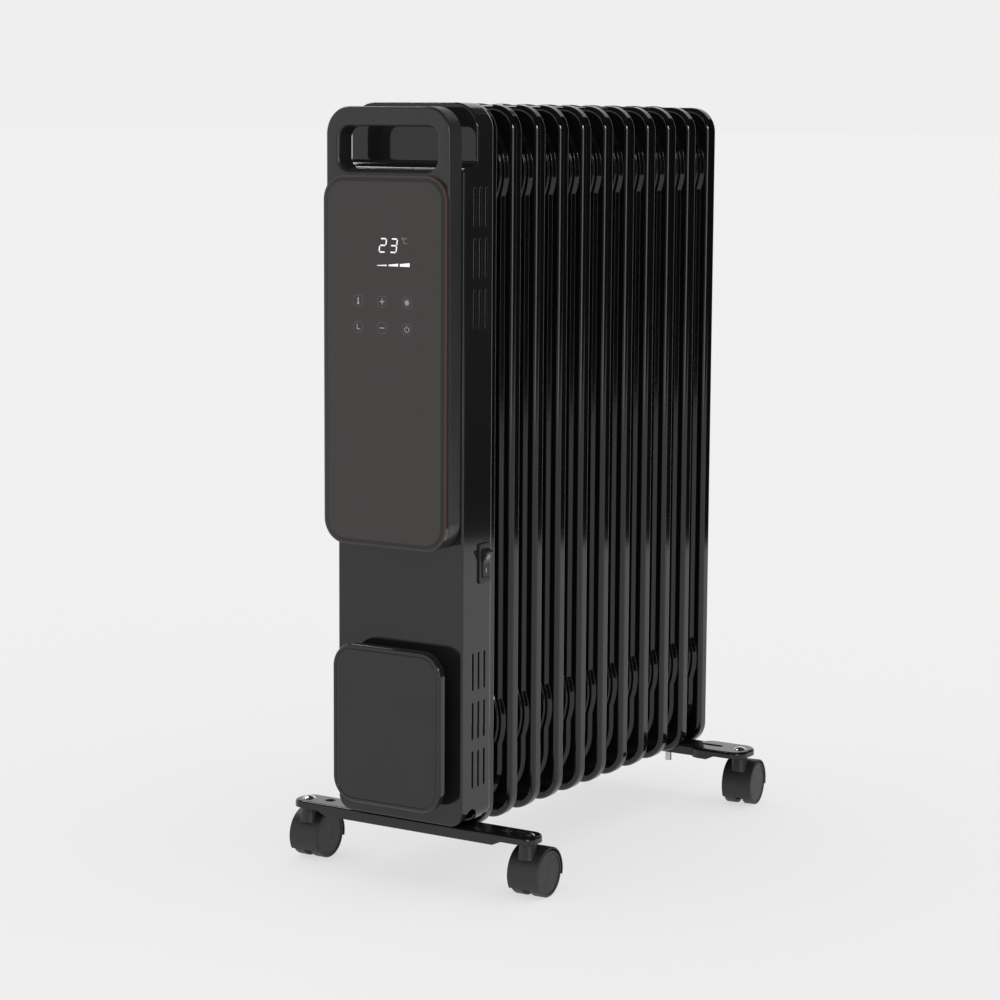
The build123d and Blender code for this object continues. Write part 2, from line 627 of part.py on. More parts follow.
# ---------------------------------------------------------------- feet
def foot_bar(plan, inner_plan):
    """A pressed channel bar: flat top, walls all round, arched up over each caster."""
    bar = Pos(0, 0, FOOT_MID_BOTTOM) * extrude(plan, amount=FOOT_TOP - FOOT_MID_BOTTOM)
    bar = fillet(bar.edges().group_by(Axis.Z)[-1], 2.4)
    hollow_top = FOOT_TOP - FOOT_SHEET
    bar = bar - Pos(0, 0, FOOT_MID_BOTTOM - 1) * extrude(inner_plan, amount=hollow_top - FOOT_MID_BOTTOM + 1)
    for side in (-1, 1):
        arch = [
            (side * FOOT_ARCH_IN, FOOT_MID_BOTTOM - 1),
            (side * FOOT_ARCH_IN, FOOT_MID_BOTTOM),
            (side * FOOT_ARCH_OUT, FOOT_END_BOTTOM),
            (side * FOOT_LENGTH, FOOT_END_BOTTOM),
            (side * FOOT_LENGTH, FOOT_MID_BOTTOM - 1),
        ]
        bar = bar - slab(make_face(Polyline(*arch, close=True)), -10, REAR_FOOT_Y + 50)
    return bar


def rivet_holes(bar, y):
    """The two caster stem holes near the ends."""
    for side in (-1, 1):
        bar = bar - post(side * RIVET_X, y, STEM_R + 0.1, FOOT_TOP - 5, FOOT_TOP + 1)
    return bar


def make_front_foot():
    """Front bar, screwed up into the housing's floor through a raised pad."""
    wall = 2 * FOOT_SHEET
    plan = Pos(0, FRONT_FOOT_Y) * RectangleRounded(FOOT_LENGTH, FRONT_FOOT_WIDTH, 11.0)
    inner = Pos(0, FRONT_FOOT_Y) * RectangleRounded(FOOT_LENGTH - wall, FRONT_FOOT_WIDTH - wall, 9.2)
    bar = rivet_holes(foot_bar(plan, inner), FRONT_FOOT_Y)
    bar = bar + block(-34, 34, FRONT_FOOT_Y - 9, FRONT_FOOT_Y + 9, FOOT_TOP - 0.5, HOUSING_BOTTOM)
    for x in FOOT_SCREWS_X:
        bar = bar - post(x, FRONT_FOOT_Y, PILOT_R + 0.2, FOOT_TOP - 5, HOUSING_BOTTOM + 1)
    for x in (-89.0, 89.0):
        bar = bar - post(x, FRONT_FOOT_Y + 1.5, 4.4, FOOT_TOP - 5, FOOT_TOP + 1)
    return bar


def make_rear_foot():
    """Rear bar, narrowed where it passes between the last two fins."""
    plans = []
    waist_mid = (REAR_WAIST_FRONT + REAR_WAIST_BACK) / 2
    waist_width = REAR_WAIST_BACK - REAR_WAIST_FRONT
    for inset in (0.0, FOOT_SHEET):
        plan = Pos(0, waist_mid) * Rectangle(2 * REAR_WAIST_HALF + 20, waist_width - 2 * inset)
        for side in (-1, 1):
            end_length = FOOT_LENGTH / 2 - REAR_WAIST_HALF - 2 * inset
            middle = side * (REAR_WAIST_HALF + inset + end_length / 2)
            end = Pos(middle, REAR_FOOT_Y) * RectangleRounded(end_length, REAR_FOOT_WIDTH - 2 * inset, 13.0 - inset)
            plan = plan + end
        plans.append(plan)
    bar = rivet_holes(foot_bar(*plans), REAR_FOOT_Y)
    for x in (-STUD_X, STUD_X):
        bar = bar - post(x, waist_mid, STUD_R + 0.15, FOOT_TOP - 5, FOOT_TOP + 1)
    for x in (-81.0, 81.0):
        slot = Pos(x, REAR_FOOT_Y, FOOT_TOP - 5) * extrude(SlotOverall(22.0, 6.4), amount=6)
        bar = bar - slot
    return bar


keep("front_foot", make_front_foot())
keep("rear_foot", make_rear_foot())

WAIST_MID_Y = (REAR_WAIST_FRONT + REAR_WAIST_BACK) / 2
hoop = Rot(90, 0, 0) * Torus(STUD_X, STUD_R)
reach = STUD_X + STUD_R + 1
hoop = hoop & block(-reach, reach, -reach, reach, 0, reach)
u_bolt = Pos(0, WAIST_MID_Y, HEADER_BOTTOM_Z) * hoop
for side in (-1, 1):
    u_bolt = u_bolt + post(side * STUD_X, WAIST_MID_Y, STUD_R, STUD_BOTTOM, HEADER_BOTTOM_Z)
keep("u_bolt", u_bolt)


def wing_nut(x):
    """Wing nut clamping the rear bar from below."""
    top = FOOT_TOP - FOOT_SHEET
    nut = post(x, WAIST_MID_Y, 5.5, top - 4.0, top)
    for side in (-1, 1):
        wing = block(x + side * 8.0 - 4.5, x + side * 8.0 + 4.5, WAIST_MID_Y - 1, WAIST_MID_Y + 1, top - 7.0, top - 1.0)
        nut = nut + fillet(wing.edges().filter_by(Axis.Y), 2.0)
    return nut - post(x, WAIST_MID_Y, STUD_R + 0.05, top - 8, top + 1)


keep("wing_nuts", Compound(children=[wing_nut(x) for x in (-STUD_X, STUD_X)]))
keep("foot_screws", Compound(children=[
    post(x, FRONT_FOOT_Y, PILOT_R - 0.1, FOOT_TOP - FOOT_SHEET, HOUSING_BOTTOM + 12)
    + post(x, FRONT_FOOT_Y, 3.4, FOOT_TOP - FOOT_SHEET - 2.2, FOOT_TOP - FOOT_SHEET)
    for x in FOOT_SCREWS_X
]))


# ---------------------------------------------------------------- casters
BOSS_TOP = FOOT_TOP - FOOT_SHEET - 0.4
STEM_BORE_BOTTOM = 37.4


def make_stem():
    """Riveted caster stem with a domed head, standing on its own axis."""
    stem = post(0, 0, STEM_R, STEM_BORE_BOTTOM + 0.4, FOOT_TOP)
    dome_rise = RIVET_TOP - FOOT_TOP
    dome_r = (RIVET_HEAD_R ** 2 + dome_rise ** 2) / (2 * dome_rise)
    dome = Pos(0, 0, RIVET_TOP - dome_r) * Sphere(dome_r)
    return stem + (dome & post(0, 0, RIVET_HEAD_R + 1, FOOT_TOP, RIVET_TOP + 1))


def make_hood():
    """Fork and hood of one caster, its stem on the origin, the axle trailing to +Y."""
    hood = cross_bar(TRAIL, WHEEL_R, HOOD_R, -HOOD_HALF, HOOD_HALF)
    hood = fillet(hood.edges().filter_by(GeomType.CIRCLE), 0.8)
    neck = Pos(0, 0, 40.0) * Cone(8.5, 6.2, 14.0)
    neck = neck + post(0, 0, 6.2, 46.9, BOSS_TOP)
    hood = hood + neck
    for side in (-1, 1):
        x0 = side * WEB_HALF
        x1 = side * (HOOD_HALF + 2)
        hood = hood - cross_bar(TRAIL, WHEEL_R, HOOD_IN_R, min(x0, x1), max(x0, x1))
    far = HOOD_R + 5
    hood = hood - block(-far, far, TRAIL - far, TRAIL, -far, HOOD_FRONT_Z)
    hood = hood - block(-far, far, TRAIL, TRAIL + 6, -far, HOOD_FRONT_Z)
    hood = hood - block(-far, far, TRAIL + 6, TRAIL + far, -far, HOOD_BACK_Z)
    hood = hood - post(0, 0, STEM_R + RUNNING_GAP, STEM_BORE_BOTTOM, BOSS_TOP + 1)
    return hood - cross_bar(TRAIL, WHEEL_R, AXLE_R + 0.01, -far, far)


def make_wheel(side):
    """One hollow wheel, outer face closed, blind bore on the inner side."""
    x_in = side * WHEEL_IN
    x_out = side * WHEEL_OUT
    low = min(x_in, x_out)
    high = max(x_in, x_out)
    wheel = cross_bar(TRAIL, WHEEL_R, WHEEL_R, low, high)
    outer_rank = -1 if side > 0 else 0
    wheel = fillet(wheel.edges().filter_by(GeomType.CIRCLE).sort_by(Axis.X)[outer_rank], 1.2)
    face_in = side * (WHEEL_OUT - 2.2)
    ring = cross_bar(TRAIL, WHEEL_R, WHEEL_R - 2.6, min(x_in, face_in), max(x_in, face_in))
    ring = ring - cross_bar(TRAIL, WHEEL_R, 5.4, min(x_in, face_in), max(x_in, face_in))
    dish_in = side * (WHEEL_OUT - 0.5)
    dish_out = side * (WHEEL_OUT + 1)
    dish = cross_bar(TRAIL, WHEEL_R, WHEEL_R - 2.4, min(dish_in, dish_out), max(dish_in, dish_out))
    bore_end = side * (AXLE_HALF + 0.4)
    bore = cross_bar(TRAIL, WHEEL_R, AXLE_R + RUNNING_GAP, min(x_in, bore_end), max(x_in, bore_end))
    return wheel - ring - dish - bore


stems = []
for name, side, y, turn in CASTERS:
    place = Pos(side * RIVET_X, y, 0)
    turned = place * Rot(0, 0, turn)
    stems.append(place * make_stem())
    keep(f"{name}_caster_hood", turned * make_hood())
    keep(f"{name}_caster_axle", turned * cross_bar(TRAIL, WHEEL_R, AXLE_R, -AXLE_HALF, AXLE_HALF))
    keep(f"{name}_wheel_left", turned * make_wheel(-1))
    keep(f"{name}_wheel_right", turned * make_wheel(1))
keep("caster_stems", Compound(children=stems))

# ---------------------------------------------------------------- write the pieces
os.makedirs("parts", exist_ok=True)
for name, shape in PIECES.items():
    export_step(shape, f"parts/{name}.step")
print(len(PIECES), "pieces, origin shifted by", round(Y_MID, 3))
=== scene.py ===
"""Looks for the oil filled radiator heater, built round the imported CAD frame."""
import json
from math import cos, radians, sin

import bmesh
import bpy
from mathutils import Matrix, Vector


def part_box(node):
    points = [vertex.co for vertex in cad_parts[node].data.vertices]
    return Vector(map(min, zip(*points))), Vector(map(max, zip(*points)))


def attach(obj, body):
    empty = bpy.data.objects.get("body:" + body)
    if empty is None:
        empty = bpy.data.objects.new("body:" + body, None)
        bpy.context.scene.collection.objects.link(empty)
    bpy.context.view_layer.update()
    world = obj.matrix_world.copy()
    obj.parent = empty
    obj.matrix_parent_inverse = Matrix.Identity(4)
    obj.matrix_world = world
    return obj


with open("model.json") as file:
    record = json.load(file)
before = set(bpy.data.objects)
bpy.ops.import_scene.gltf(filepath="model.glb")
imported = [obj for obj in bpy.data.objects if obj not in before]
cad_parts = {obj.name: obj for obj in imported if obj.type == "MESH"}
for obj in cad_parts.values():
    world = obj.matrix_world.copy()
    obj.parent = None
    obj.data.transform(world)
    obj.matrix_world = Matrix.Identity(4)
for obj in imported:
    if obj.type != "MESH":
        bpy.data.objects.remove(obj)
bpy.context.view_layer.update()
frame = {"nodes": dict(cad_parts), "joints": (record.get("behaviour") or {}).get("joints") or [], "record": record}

MM = 0.001
NODES = frame["nodes"]


# ---------------------------------------------------------------- node tree helpers
class Shader:
    """A small wrapper that builds one material's node tree."""

    def __init__(self, name):
        self.mat = bpy.data.materials.new(name)
        self.mat.use_nodes = True
        self.tree = self.mat.node_tree
        self.bsdf = self.tree.nodes["Principled BSDF"]
        self.place = self.tree.nodes.new("ShaderNodeTexCoord").outputs["Object"]

    def node(self, kind, **values):
        made = self.tree.nodes.new(kind)
        for key, value in values.items():
            setattr(made, key, value)
        return made

    def link(self, out, into):
        self.tree.links.new(out, into)

    def feed(self, socket, value):
        """A number, a colour or another node's output into a socket."""
        if isinstance(value, bpy.types.NodeSocket):
            self.link(value, socket)
        else:
            socket.default_value = value

    def math(self, operation, a, b=0.0, c=0.0, clamp=False):
        made = self.node("ShaderNodeMath", operation=operation, use_clamp=clamp)
        self.feed(made.inputs[0], a)
        self.feed(made.inputs[1], b)
        self.feed(made.inputs[2], c)
        return made.outputs[0]

    def noise(self, scale, detail=3.0, rough=0.5, stretch=(1, 1, 1)):
        """Noise with features of about 1/scale metres, stretched along the axes."""
        mapping = self.node("ShaderNodeMapping")
        mapping.inputs["Scale"].default_value = stretch
        self.link(self.place, mapping.inputs["Vector"])
        made = self.node("ShaderNodeTexNoise")
        self.link(mapping.outputs[0], made.inputs["Vector"])
        made.inputs["Scale"].default_value = scale
        made.inputs["Detail"].default_value = detail
        made.inputs["Roughness"].default_value = rough
        return made.outputs["Fac"]

    def span(self, value, low, high, to_low, to_high):
        """Map a value from one range to another, clamped."""
        made = self.node("ShaderNodeMapRange")
        self.feed(made.inputs["Value"], value)
        for key, number in (("From Min", low), ("From Max", high), ("To Min", to_low), ("To Max", to_high)):
            made.inputs[key].default_value = number
        return made.outputs[0]

    def mix(self, factor, first, second):
        """Blend two colours."""
        made = self.node("ShaderNodeMix", data_type="RGBA")
        self.feed(made.inputs[0], factor)
        self.feed(made.inputs[6], first)
        self.feed(made.inputs[7], second)
        return made.outputs[2]

    def bump(self, height, strength, distance, below=None):
        made = self.node("ShaderNodeBump")
        made.inputs["Strength"].default_value = strength
        made.inputs["Distance"].default_value = distance
        self.feed(made.inputs["Height"], height)
        if below is not None:
            self.link(below, made.inputs["Normal"])
        return made.outputs[0]

    def soft_edge(self, radius_mm):
        """The surface's normal with its sharp edges rounded off by a radius."""
        made = self.node("ShaderNodeBevel", samples=4)
        made.inputs["Radius"].default_value = radius_mm * MM
        return made.outputs[0]

    def xyz(self):
        parts = self.node("ShaderNodeSeparateXYZ")
        self.link(self.place, parts.inputs[0])
        return parts.outputs


def rgb(value, alpha=1.0):
    """A grey or a colour as four numbers."""
    if isinstance(value, (int, float)):
        value = (value, value, value)
    return (*value, alpha)


# ---------------------------------------------------------------- materials
def gloss_coat(name, colour, rough=0.07, peel=0.05, wave=0.0, ior=1.5, edge=0.9):
    """Gloss paint or plastic: faint orange peel, slow waviness, and dust in the gloss."""
    s = Shader(name)
    dust = s.noise(900.0, 2.0)
    cloud = s.noise(14.0, 3.0)
    lighter = rgb([c * 1.25 for c in colour])
    s.feed(s.bsdf.inputs["Base Color"], s.mix(s.span(cloud, 0.35, 0.7, 0.0, 1.0), rgb(colour), lighter))
    dusty = s.span(dust, 0.45, 0.75, rough, rough + 0.05)
    s.feed(s.bsdf.inputs["Roughness"], s.math("ADD", dusty, s.span(cloud, 0.3, 0.7, 0.0, 0.02)))
    s.bsdf.inputs["IOR"].default_value = ior
    height = s.bump(s.noise(420.0, 2.0), peel, 0.0002, s.soft_edge(edge))
    if wave:
        height = s.bump(s.noise(18.0, 1.0), wave, 0.0015, height)
    s.link(height, s.bsdf.inputs["Normal"])
    return s.mat


def moulded(name, colour, rough=0.4, grain=1300.0, depth=0.25, spec=0.5):
    """Satin or matt moulded plastic with a fine eroded texture and slight shade changes."""
    s = Shader(name)
    cloud = s.noise(22.0, 4.0)
    darker = rgb([c * 0.85 for c in colour])
    lighter = rgb([c * 1.15 for c in colour])
    s.feed(s.bsdf.inputs["Base Color"], s.mix(s.span(cloud, 0.3, 0.7, 0.0, 1.0), darker, lighter))
    s.feed(s.bsdf.inputs["Roughness"], s.span(s.noise(240.0, 3.0), 0.3, 0.7, rough - 0.05, rough + 0.06))
    s.bsdf.inputs["Specular IOR Level"].default_value = spec
    s.link(s.bump(s.noise(grain, 2.0, 0.7), depth, 0.00008), s.bsdf.inputs["Normal"])
    return s.mat


def metal(name, colour, rough=0.25, stretch=(1, 1, 1), scratch=0.15):
    """Plated or brushed metal with fine scratches and cloudy plating."""
    s = Shader(name)
    cloud = s.noise(60.0, 4.0)
    darker = rgb([c * 0.8 for c in colour])
    s.feed(s.bsdf.inputs["Base Color"], s.mix(s.span(cloud, 0.3, 0.7, 0.0, 1.0), darker, rgb(colour)))
    s.bsdf.inputs["Metallic"].default_value = 1.0
    brushing = s.noise(300.0, 4.0, 0.6, stretch)
    s.feed(s.bsdf.inputs["Roughness"], s.span(brushing, 0.3, 0.7, rough * 0.7, rough * 1.3))
    s.link(s.bump(s.noise(900.0, 3.0, 0.6, stretch), scratch, 0.00005), s.bsdf.inputs["Normal"])
    return s.mat


def smoked_sheet(name, node):
    """Smoked glossy sheet: a painted brown edge glow at its very edge and a painted dark shade line inside that.
    """
    s = Shader(name)
    low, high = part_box(node)
    corner = 20 * MM
    middle = (low + high) / 2
    x, _, z = s.xyz()
    from_x = s.math("ABSOLUTE", s.math("SUBTRACT", x, middle.x))
    from_z = s.math("ABSOLUTE", s.math("SUBTRACT", z, middle.z))
    reach_x = s.math("SUBTRACT", from_x, (high.x - low.x) / 2 - corner)
    reach_z = s.math("SUBTRACT", from_z, (high.z - low.z) / 2 - corner)
    out_x = s.math("MAXIMUM", reach_x, 0.0)
    out_z = s.math("MAXIMUM", reach_z, 0.0)
    squares = s.math("ADD", s.math("MULTIPLY", out_x, out_x), s.math("MULTIPLY", out_z, out_z))
    far = s.math("SQRT", squares)
    near = s.math("MINIMUM", s.math("MAXIMUM", reach_x, reach_z), 0.0)
    edge = s.math("SUBTRACT", corner, s.math("ADD", far, near))
    edge_mm = s.math("MULTIPLY", edge, 1000.0)
    # Painted light: a brown band in the outer 1.4 mm stands in for light showing through the sheet's edge.
    glow = s.span(edge_mm, 0.0, 1.4, 1.0, 0.0)
    # Painted shade: a near-black line about 2 to 5 mm in from the edge stands in for shade along the bevel.
    line = s.math("MULTIPLY", s.span(edge_mm, 1.4, 2.0, 0.0, 1.0), s.span(edge_mm, 4.6, 5.2, 1.0, 0.0))
    body = s.mix(glow, rgb((0.030, 0.0235, 0.0240)), rgb((0.050, 0.024, 0.018)))
    s.feed(s.bsdf.inputs["Base Color"], s.mix(line, body, rgb(0.003)))
    s.feed(s.bsdf.inputs["Roughness"], s.span(s.noise(700.0, 2.0), 0.4, 0.8, 0.045, 0.085))
    s.bsdf.inputs["IOR"].default_value = 1.5
    s.link(s.bump(s.noise(5.0, 1.0), 0.12, 0.004), s.bsdf.inputs["Normal"])
    return s.mat


def glowing(name, colour, strength):
    """Lit display print: emission over a dim base, slightly uneven."""
    s = Shader(name)
    uneven = s.span(s.noise(500.0, 2.0), 0.3, 0.7, 0.85, 1.0)
    s.bsdf.inputs["Base Color"].default_value = rgb([c * strength * 0.15 for c in colour])
    s.bsdf.inputs["Roughness"].default_value = 0.1
    s.bsdf.inputs["Emission Color"].default_value = rgb(colour)
    s.feed(s.bsdf.inputs["Emission Strength"], s.math("MULTIPLY", uneven, strength))
    return s.mat


def circuit_board(name):
    """Green solder mask with darker copper tracks under it."""
    s = Shader(name)
    tracks = s.node("ShaderNodeTexBrick")
    tracks.inputs["Scale"].default_value = 90.0
    s.link(s.place, tracks.inputs["Vector"])
    dark_green = rgb((0.02, 0.13, 0.05))
    light_green = rgb((0.05, 0.25, 0.09))
    s.feed(s.bsdf.inputs["Base Color"], s.mix(tracks.outputs["Fac"], dark_green, light_green))
    s.feed(s.bsdf.inputs["Roughness"], s.span(s.noise(300.0), 0.3, 0.7, 0.25, 0.4))
    return s.mat


MATERIALS = {
    "gloss_black_steel": gloss_coat("gloss_black_steel", (0.0035, 0.0034, 0.0036), 0.06, 0.05),
    "foot_black": gloss_coat("foot_black", (0.006, 0.006, 0.0065), 0.12, 0.08),
    "gloss_black_plastic": gloss_coat("gloss_black_plastic", (0.010, 0.0095, 0.0105), 0.05, 0.03, wave=0.05),
    "satin_black_plastic": moulded("satin_black_plastic", (0.018, 0.018, 0.019), 0.34, 1500.0, 0.12),
    "switch_black": moulded("switch_black", (0.016, 0.016, 0.017), 0.36, 1500.0, 0.15),
    "module_black": moulded("module_black", (0.03, 0.03, 0.03), 0.45),
    "sensor_white": moulded("sensor_white", (0.7, 0.69, 0.65), 0.5),
    "gland_rubber": moulded("gland_rubber", (0.015, 0.015, 0.015), 0.7, 900.0, 0.3),
    "caster_nylon": moulded("caster_nylon", (0.015, 0.0147, 0.0149), 0.47, 1400.0, 0.3),
    "wheel_nylon": moulded("wheel_nylon", (0.019, 0.0185, 0.0185), 0.5, 1200.0, 0.35),
    "zinc_steel": metal("zinc_steel", (0.62, 0.66, 0.68), 0.3),
    "bright_steel": metal("bright_steel", (0.80, 0.82, 0.85), 0.12, scratch=0.05),
    "element_steel": metal("element_steel", (0.45, 0.44, 0.42), 0.45, (1, 0.05, 1)),
    "brass": metal("brass", (0.72, 0.52, 0.22), 0.25),
    "board_green": circuit_board("board_green"),
    "smoked_panel": smoked_sheet("smoked_panel", "touch_panel"),
}

for entry in frame["record"]["subparts"]:
    obj = NODES[entry["node"]]
    material = MATERIALS[entry["material_slot"]]
    if not obj.material_slots:
        obj.data.materials.append(material)
    for place in obj.material_slots:
        place.material = material


# ---------------------------------------------------------------- printed and lit marks
class Print:
    """Thin marks on a flat face: closed ribbons a hair proud of it, drawn in its own plane, in mm."""

    PROUD = 0.03 * MM
    SUNK = 0.15 * MM

    def __init__(self, name, body, slot, material, origin, across, up):
        self.name, self.body, self.slot, self.material = name, body, slot, material
        self.origin, self.across, self.up = Vector(origin), Vector(across), Vector(up)
        self.out = self.across.cross(self.up)
        self.bm = bmesh.new()

    def corner(self, point, depth):
        where = self.origin + (self.across * point.x + self.up * point.y) * MM + self.out * depth
        return self.bm.verts.new(where)

    def ribbon(self, points, width, closed=False, end_width=None):
        """A line of the given width through the points; end_width tapers it."""
        points = [Vector(p) for p in points]
        count = len(points)
        rings = []
        for i, p in enumerate(points):
            before = points[i - 1] if closed or i > 0 else None
            after = points[(i + 1) % count] if closed or i < count - 1 else None
            d0 = (p - before if before is not None else after - p).normalized()
            d1 = (after - p if after is not None else p - before).normalized()
            normal = Vector((-(d0.y + d1.y), d0.x + d1.x)).normalized()
            wide = width if end_width is None else width + (end_width - width) * i / (count - 1)
            reach = wide / 2 / max(normal.dot(Vector((-d0.y, d0.x))), 0.5)
            left, right_side = p + normal * reach, p - normal * reach
            rings.append([self.corner(left, self.PROUD), self.corner(right_side, self.PROUD),
                          self.corner(right_side, -self.SUNK), self.corner(left, -self.SUNK)])
        for i in range(count if closed else count - 1):
            a, b = rings[i], rings[(i + 1) % count]
            for k in range(4):
                self.bm.faces.new((a[k], a[(k + 1) % 4], b[(k + 1) % 4], b[k]))
        if not closed:
            self.bm.faces.new(rings[0][::-1])
            self.bm.faces.new(rings[-1])

    def arc(self, x, z, radius, width, start=0.0, end=360.0, steps=28):
        """A stroke along an arc, angles in degrees from across towards up."""
        closed = end - start >= 360.0
        count = steps if closed else steps + 1
        turns = [radians(start + (end - start) * i / steps) for i in range(count)]
        self.ribbon([(x + radius * cos(t), z + radius * sin(t)) for t in turns], width, closed)

    def rounded_square(self, x, z, size, radius, width):
        """The outline of a key."""
        points = []
        inner = size / 2 - radius
        for quarter in range(4):
            middle_turn = radians(45 + 90 * quarter)
            cx = x + inner * (1 if cos(middle_turn) > 0 else -1)
            cz = z + inner * (1 if sin(middle_turn) > 0 else -1)
            for i in range(7):
                t = radians(90 * quarter + 15 * i)
                points.append((cx + radius * cos(t), cz + radius * sin(t)))
        self.ribbon(points, width, closed=True)

    def finish(self):
        bmesh.ops.recalc_face_normals(self.bm, faces=self.bm.faces)
        mesh = bpy.data.meshes.new(self.name)
        self.bm.to_mesh(mesh)
        self.bm.free()
        mesh.materials.append(self.material)
        obj = bpy.data.objects.new(self.name, mesh)
        bpy.context.scene.collection.objects.link(obj)
        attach(obj, self.body)
        return obj


PANEL_LOW, PANEL_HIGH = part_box("touch_panel")
PANEL_MID_X = (PANEL_LOW.x + PANEL_HIGH.x) / 2


def panel_print(name, colour, strength):
    """Marks on the touch panel, measured in mm from its middle line and from the floor."""
    material = glowing(name, colour, strength)
    origin = (PANEL_MID_X, PANEL_LOW.y, 0)
    return Print(name, "heater", "smoked_panel", material, origin, (1, 0, 0), (0, 0, 1))


SEGMENTS = {"2": "abged", "3": "abgcd"}
DIGIT_HEIGHT = 10.6
DIGIT_WIDTH = 5.9
DIGIT_SLANT = 0.13
DIGIT_STROKE = 1.1


def digit(mark, symbol, x, z):
    """A slanted seven-segment numeral with its lower left corner at x, z."""
    w, h, gap = DIGIT_WIDTH, DIGIT_HEIGHT, 0.55
    ends = {
        "a": ((gap, h), (w - gap, h)), "d": ((gap, 0), (w - gap, 0)), "g": ((gap, h / 2), (w - gap, h / 2)),
        "b": ((w, h - gap), (w, h / 2 + gap)), "c": ((w, h / 2 - gap), (w, gap)),
        "e": ((0, h / 2 - gap), (0, gap)), "f": ((0, h - gap), (0, h / 2 + gap)),
    }
    for segment in SEGMENTS[symbol]:
        mark.ribbon([(x + px + pz * DIGIT_SLANT, z + pz) for px, pz in ends[segment]], DIGIT_STROKE)


DIGITS_Z = 521.4
BARS_Z = 510.4
BARS = ((-6.5, 2.8, 0.5, 1.1), (4.7, 13.8, 1.2, 2.2), (15.6, 24.9, 2.0, 3.0))
KEY_COLUMNS = (-25.0, -1.7, 22.3)
KEY_ROWS = (482.0, 461.0)
KEY_SIZE = 8.6
LINE = 0.42


def make_display():
    """Lit temperature and heat level."""
    lit = panel_print("display_digits", (1.0, 1.0, 1.0), 1.0)
    digit(lit, "2", -4.6, DIGITS_Z)
    digit(lit, "3", 5.9, DIGITS_Z)
    for start, end, low, high in BARS:
        lit.ribbon([(start, BARS_Z + low / 2), (end, BARS_Z + high / 2)], low, end_width=high)
    lit.finish()
    unit = panel_print("display_unit", (0.75, 0.75, 0.78), 0.22)
    unit.arc(17.9, 532.6, 0.8, 0.45, steps=14)
    unit.arc(21.0, 530.6, 2.1, 0.6, 50, 310, 18)
    unit.finish()


def make_keys():
    """Dim outlines of the six touch keys and their symbols."""
    dim = panel_print("touch_key_marks", (0.62, 0.50, 0.52), 0.13)
    bright = panel_print("touch_key_symbols", (0.80, 0.74, 0.76), 0.42)
    top, low = KEY_ROWS
    left, middle, right_column = KEY_COLUMNS
    for z in KEY_ROWS:
        for x in KEY_COLUMNS:
            dim.rounded_square(x, z, KEY_SIZE, 2.0, LINE)
    bright.ribbon([(left, top - 1.0), (left, top + 2.6)], 1.0)
    bright.arc(left, top - 1.9, 0.6, 0.9, steps=12)
    bright.ribbon([(middle - 2.3, top), (middle + 2.3, top)], 0.7)
    bright.ribbon([(middle, top - 2.3), (middle, top - 0.36)], 0.7)
    bright.ribbon([(middle, top + 0.36), (middle, top + 2.3)], 0.7)
    bright.arc(right_column, top, 1.1, 1.2, steps=16)
    for ray in range(8):
        t = radians(45 * ray)
        bright.ribbon([(right_column + 2.0 * cos(t), top + 2.0 * sin(t)),
                       (right_column + 2.9 * cos(t), top + 2.9 * sin(t))], 0.5)
    bright.ribbon([(left - 1.0, low + 2.4), (left - 1.0, low - 1.6), (left + 2.0, low - 1.6)], 0.6)
    bright.ribbon([(middle - 2.3, low), (middle + 2.3, low)], 0.7)
    bright.arc(right_column, low - 0.2, 2.1, 0.5, 125, 415, 20)
    bright.ribbon([(right_column, low + 0.4), (right_column, low + 2.7)], 0.5)
    dim.finish()
    bright.finish()


def make_rocker_marks():
    """The off ring on the raised half of the rocker and the on bar on the pressed half."""
    rocker_low, rocker_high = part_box("switch_rocker")
    middle_y = (rocker_low.y + rocker_high.y) / 2
    pivot = next(j for j in frame["joints"] if j["name"] == "switch_rocker_tilt")["pos_m"]
    ridge = Vector((pivot[0] + 2.8 * MM, middle_y, pivot[2]))
    lean = radians(24.0)
    paint = moulded("mark_white", (0.62, 0.62, 0.62), 0.4)
    up_the_slope = (sin(lean), 0, cos(lean))
    raised = Print("rocker_mark_off", "rocker", "switch_black", paint, ridge, (0, 1, 0), up_the_slope)
    raised.arc(0, 5.6, 1.5, 0.55, steps=20)
    raised.finish()
    pressed = Print("rocker_mark_on", "rocker", "switch_black", paint, ridge, (0, 1, 0), (0, 0, 1))
    pressed.ribbon([(0, -7.6), (0, -4.2)], 0.6)
    pressed.finish()


make_display()
make_keys()
make_rocker_marks()


# ---------------------------------------------------------------- floor, world, camera
FLOOR_SIZE = 400.0


def plain(name, colour, lit):
    """Plain matt paint for the stage, part of whose brightness is its own, as on a light table."""
    s = Shader(name)
    s.bsdf.inputs["Base Color"].default_value = rgb(colour)
    s.bsdf.inputs["Roughness"].default_value = 0.9
    s.bsdf.inputs["Specular IOR Level"].default_value = 0.0
    s.bsdf.inputs["Emission Color"].default_value = rgb(1.0)
    s.bsdf.inputs["Emission Strength"].default_value = lit
    return s.mat


def sheet(name, corners, material):
    """A flat stage sheet through four corners."""
    mesh = bpy.data.meshes.new(name)
    mesh.from_pydata([Vector(c) for c in corners], [], [(0, 1, 2, 3)])
    obj = bpy.data.objects.new(name, mesh)
    bpy.context.scene.collection.objects.link(obj)
    mesh.materials.append(material)
    return obj


HORIZON_LIGHT = 0.862
FLOOR_OWN_SHARE = 0.72
FLOOR_ALBEDO = 0.93
half = FLOOR_SIZE / 2
sheet("floor", [(-half, -half, 0), (half, -half, 0), (half, half, 0), (-half, half, 0)],
      plain("floor_paint", FLOOR_ALBEDO * (1 - FLOOR_OWN_SHARE), HORIZON_LIGHT * FLOOR_OWN_SHARE))

ZENITH_LIGHT = 1.02


